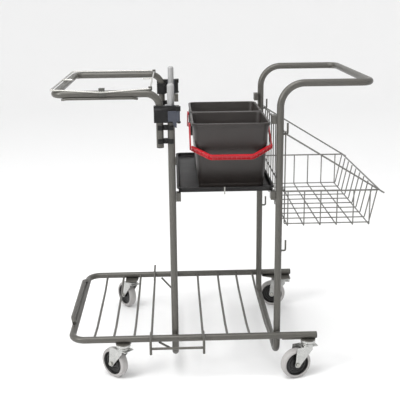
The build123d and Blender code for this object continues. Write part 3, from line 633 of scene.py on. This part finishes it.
def wire_line(name, runs, bend):
    """Curve for bent wires: straight runs, and a bend of the given length at each corner."""
    line = bpy.data.curves.new(name, "CURVE")
    line.dimensions = "3D"
    for run in runs:
        points = [Vector(run[0])]
        for before, here, after in zip(run, run[1:], run[2:]):
            here = Vector(here)
            points += [here + (Vector(before) - here).normalized() * bend, here,
                       here + (Vector(after) - here).normalized() * bend]
        points.append(Vector(run[-1]))
        if len(run) > 2:
            # one more at each end of a straight, so that only the corners are round
            full = [points[0]]
            for a, b in zip(points, points[1:]):
                if (b - a).length > bend * long_share:
                    full += [a.lerp(b, end_share), a.lerp(b, 1 - end_share)]
                full.append(b)
            points = full
        spline = line.splines.new("NURBS")
        spline.points.add(len(points) - 1)
        for point, place in zip(spline.points, points):
            point.co = (*place, 1)
        spline.order_u = 3
        spline.use_endpoint_u = True
        spline.resolution_u = 5
    return line


def curve_bmesh(line):
    """The mesh that a curve makes, as a bmesh."""
    holder = bpy.data.objects.new(line.name, line)
    bpy.context.scene.collection.objects.link(holder)
    bpy.context.view_layer.update()
    shown = holder.evaluated_get(bpy.context.evaluated_depsgraph_get())
    bm = bmesh.new()
    bm.from_mesh(bpy.data.meshes.new_from_object(shown))
    bpy.data.objects.remove(holder)
    return bm


def strap(name, points, width, thickness, bend):
    """Flat strap bent along points in the XY plane: a curve with a rectangular section."""
    section = bpy.data.curves.new(name + "_section", "CURVE")
    section.dimensions = "2D"
    spline = section.splines.new("POLY")
    corners = [(-1, -1), (1, -1), (1, 1), (-1, 1)]
    spline.points.add(len(corners) - 1)
    for point, (u, v) in zip(spline.points, corners):
        point.co = (u * thickness / 2, v * width / 2, 0, 1)
    spline.use_cyclic_u = True
    profile = bpy.data.objects.new(name + "_section", section)
    bpy.context.scene.collection.objects.link(profile)
    line = wire_line(name + "_line", [points], bend)
    line.twist_mode = "Z_UP"
    line.bevel_mode = "OBJECT"
    line.bevel_object = profile
    line.use_fill_caps = True
    bm = curve_bmesh(line)
    bpy.data.objects.remove(profile)
    return bm


def join(bm, other):
    """Adds another bmesh's geometry to bm."""
    mesh = bpy.data.meshes.new("part")
    other.to_mesh(mesh)
    other.free()
    bm.from_mesh(mesh)
    bpy.data.meshes.remove(mesh)


def bail(side, sign):
    """One bail, modelled flat with its pivot at the origin and +Y towards the grip, then leant over."""
    low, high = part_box("bail_" + side)
    swing = joint("bail_swing_" + side)
    arm_x = (high.x - low.x) / 2 / mm - arm_thick / 2
    route = [(-arm_x, 0), (-arm_x, arm_reach), (-grip_half, grip_reach), (grip_half, grip_reach),
             (arm_x, arm_reach), (arm_x, 0)]
    line = [Vector((x * mm, y * mm, 0)) for x, y in route]
    left_arm, right_arm = line[:2], line[4:]
    grip = [line[1].lerp(line[2], grip_start), line[2], line[3], line[4].lerp(line[3], grip_start)]
    bm = bmesh.new()
    for run, sizes in ((left_arm, arm_strap), (right_arm, arm_strap), (grip, grip_strap)):
        half, rail, thick, pitch = sizes
        join(bm, strap("web", run, 2 * half * mm, web_thick * mm, strap_bend * mm))
        for offset in (-1, 1):
            rail_line = [p + Vector((0, 0, offset * (half - rail / 2 + rail_proud) * mm)) for p in run]
            join(bm, strap("rail", rail_line, rail * mm, thick * mm, strap_bend * mm))
        for place, direction in along(run, pitch * mm):
            rib = (rib_wide * mm, (thick - rib_sunk) * mm, 2 * half * mm)
            bar_block(bm, rib, place, math.atan2(direction.y, direction.x))
    for end in (-1, 1):
        elbow = Vector((end * arm_x * mm, arm_reach * mm, 0))
        bar_block(bm, [extent * mm for extent in elbow_size], elbow, 0)
    for end in (-1, 1):
        for radius, outer, inner in boss_and_pin:
            disc = bmesh.ops.create_cone(bm, cap_ends=True, segments=32, radius1=radius * mm,
                                         radius2=radius * mm, depth=(outer - inner) * mm)["verts"]
            bmesh.ops.rotate(bm, matrix=Matrix.Rotation(math.pi / 2, 3, "Y"), verts=disc)
            bmesh.ops.translate(bm, vec=(end * (arm_x + (outer + inner) / 2) * mm, 0, 0), verts=disc)
    lean = Matrix.Rotation(-sign * rest_angle, 4, "X")
    if sign < 0:
        lean = lean @ Matrix.Rotation(math.pi, 4, "Z")
    bmesh.ops.transform(bm, matrix=Matrix.Translation(swing["pos_m"]) @ lean, verts=bm.verts)
    piece = new_piece("bail_" + side + "_moulded", bm, "bail_" + side, red_polypropylene,
                      "red_plastic", "bail_" + side)
    round_edges(piece, bail_rounding, segments=2, harden=False)


red_polypropylene = moulded_plastic("red_polypropylene", "#b8101f", "#9e0c1a", roughness=0.28,
                                    grain_mm=1.2, bump_depth=0.03)
bail("near", -1)
bail("far", 1)


# ---- Bag hoop's clamps, clips and catch ----
# The clamps are glass-filled nylon in black, with a blue-grey liner, lever and clips of acetal. They
# grip the hoop's legs and slide on the front posts.

blue_grey_acetal = moulded_plastic("blue_grey_acetal", "#3f434e", "#343740", roughness=0.34,
                                   grain_mm=0.9)
black_nylon = moulded_plastic("black_nylon", "#0e0e0f", "#080808", roughness=0.42, grain_mm=0.7,
                              bump_depth=0.08, Specular_IOR_Level=0.35)
for side in ("near", "far"):
    eased("clamp_" + side, "clamp_" + side + "_moulded", 1.2, black_nylon, "black_plastic")
    eased("clamp_lever_" + side, "clamp_lever_" + side + "_moulded", 0.8, blue_grey_acetal, "liner_plastic")
eased("clamp_sleeves", "clamp_sleeves_moulded", 0.4, blue_grey_acetal, "liner_plastic")
eased("spacer_clips", "spacer_clips_moulded", 0.7, black_nylon, "liner_plastic")
eased("lever_pins", "lever_pins_plated", 0.4, zinc_bolt, "bolt_steel")
dull_strip = zinc_plate("dull_plated_strip", "#6f6f6b", "#5b5b57", roughness=0.38)
eased("wire_catch", "wire_catch_bent", 0.5, dull_strip, "bolt_steel")


# ---- Bag wire ----
# One bright nickel-plated wire, bent to a rectangle that lies on the hoop and holds the bag's edge. Its
# near side is sprung down under the catch; a finger loop and a short prong are welded to it.

wire_mm = 5
wire_bend = 8
catch_dip = 7                    # how far the near side is pressed down at the catch
catch_out = 11.7                 # and outwards
catch_half = 14                  # half the stretch that lies under the catch
loop_wire_mm = 4
loop_bend = 6
loop_half = 17                   # half the loop's width at the wire, and at its tip
loop_tip_half = 8
loop_reach = 33
prong_y = 8
prong_reach = 31


def wire_piece(name, runs, diameter_mm, bend_mm, body, material, finish, *stands_for):
    """Piece of round wires bent along their runs."""
    line = wire_line(name, runs, bend_mm * mm)
    line.bevel_depth = diameter_mm * mm / 2
    line.bevel_resolution = 3
    line.use_fill_caps = True
    bm = curve_bmesh(line)
    bmesh.ops.remove_doubles(bm, verts=bm.verts, dist=merge_mm * mm)
    new_piece(name, bm, body, material, finish, *stands_for, smooth=50)


def bag_wire():
    """The wire frame round the hoop's top, with its loop and prong."""
    low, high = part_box("wire_frame")
    catch_low, catch_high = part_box("wire_catch")
    r = wire_mm * mm / 2
    left, right = low.x + r, high.x - r
    y = high.y - r
    z = (low.z + high.z) / 2
    catch_x = (catch_low.x + catch_high.x) / 2
    dipped = (-y - catch_out * mm, z - catch_dip * mm)
    run = [(right, 0, z), (right, y, z), (left, y, z), (left, -y, z),
           (catch_x - catch_half * mm, *dipped), (catch_x + catch_half * mm, *dipped),
           (right, -y, z), (right, 0, z)]
    tip_x = left + loop_reach * mm
    loop = [(left + r, loop_half * mm, z), (tip_x, loop_tip_half * mm, z),
            (tip_x, -loop_tip_half * mm, z), (left + r, -loop_half * mm, z)]
    prong = [(right - r, prong_y * mm, z), (right - prong_reach * mm, prong_y * mm, z)]
    wire_piece("bag_wire_bent", [run], wire_mm, wire_bend, "bag_wire", bright_nickel, "bright_wire",
               "wire_frame")
    wire_piece("bag_wire_loop", [loop, prong], loop_wire_mm, loop_bend, "bag_wire", bright_nickel,
               "bright_wire", "wire_frame")


bright_nickel = zinc_plate("bright_nickel_plate", "#bcbbb6", "#a5a49f", roughness=0.2)
bag_wire()


# ---- Basket ----
# Welded wire basket, zinc plated and dulled. Each long wire runs down the tall back, along the floor
# and up the sloping front; each cross wire passes under them and up both sides to the rim.

mesh_wire_mm = 4
rim_wire_mm = 5
long_wires = 10
long_bend = 7
long_inset = 9.6                 # from the rim wire's middle to the outermost long wire
long_short = 0.6                 # the long wires end this far below the back's top
cross_wires = 6
cross_bend = 6
rim_lap = 1.5                    # the wires end this far below the rim wire's middle
top_drop = 2                     # from the back's top to the top wire's middle


def basket():
    """The basket's bent wires; its rim and stays keep their CAD shape."""
    rim_low, rim_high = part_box("basket_rim")
    back_low, back_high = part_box("basket_back")
    floor_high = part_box("basket_floor")[1]
    side_low, side_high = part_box("basket_side_far")
    r = mesh_wire_mm * mm / 2
    rim_r = rim_wire_mm * mm / 2
    rim_z = (rim_low.z + rim_high.z) / 2
    floor_z = floor_high.z - r
    back_x = back_high.x - r
    front_x = floor_high.x - r
    top_x = rim_high.x - 2 * rim_r - r
    half = rim_high.y - rim_r - long_inset * mm
    end_z = rim_z - rim_lap * mm
    long_runs = []
    for number in range(long_wires):
        y = -half + number * 2 * half / (long_wires - 1)
        long_runs.append([(back_x, y, back_high.z - long_short * mm), (back_x, y, floor_z),
                          (front_x, y, floor_z), (top_x, y, end_z)])
    wire_piece("basket_long_wires", long_runs, mesh_wire_mm, long_bend, "basket", dulled_zinc,
               "basket_wire", "basket_front", "basket_back", "basket_floor")
    first = side_low.x + r
    pitch = (side_high.x - side_low.x - 2 * r) / (cross_wires - 1)
    side_y = side_high.y - r
    under = floor_z - mesh_wire_mm * mm
    cross_runs = []
    for number in range(cross_wires):
        x = first + number * pitch
        cross_runs.append([(x, -side_y, end_z), (x, -side_y, under), (x, side_y, under),
                           (x, side_y, end_z)])
    wire_piece("basket_cross_wires", cross_runs, mesh_wire_mm, cross_bend, "basket", dulled_zinc,
               "basket_wire", "basket_side_near", "basket_side_far", "basket_floor")
    top_wire_x = back_low.x + rim_r
    top_z = back_high.z - top_drop * mm
    top_run = [(top_wire_x, back_low.y, top_z), (top_wire_x, back_high.y, top_z)]
    wire_piece("basket_top_wire", [top_run], rim_wire_mm, cross_bend, "basket", dulled_zinc,
               "basket_wire", "basket_back")
    for name in ("basket_rim", "basket_stays"):
        eased(name, name + "_plated", 0, dulled_zinc, "basket_wire")


dulled_zinc = zinc_plate("dulled_zinc_plate", "#8c8b88", "#6f6e6b", roughness=0.36)
basket()
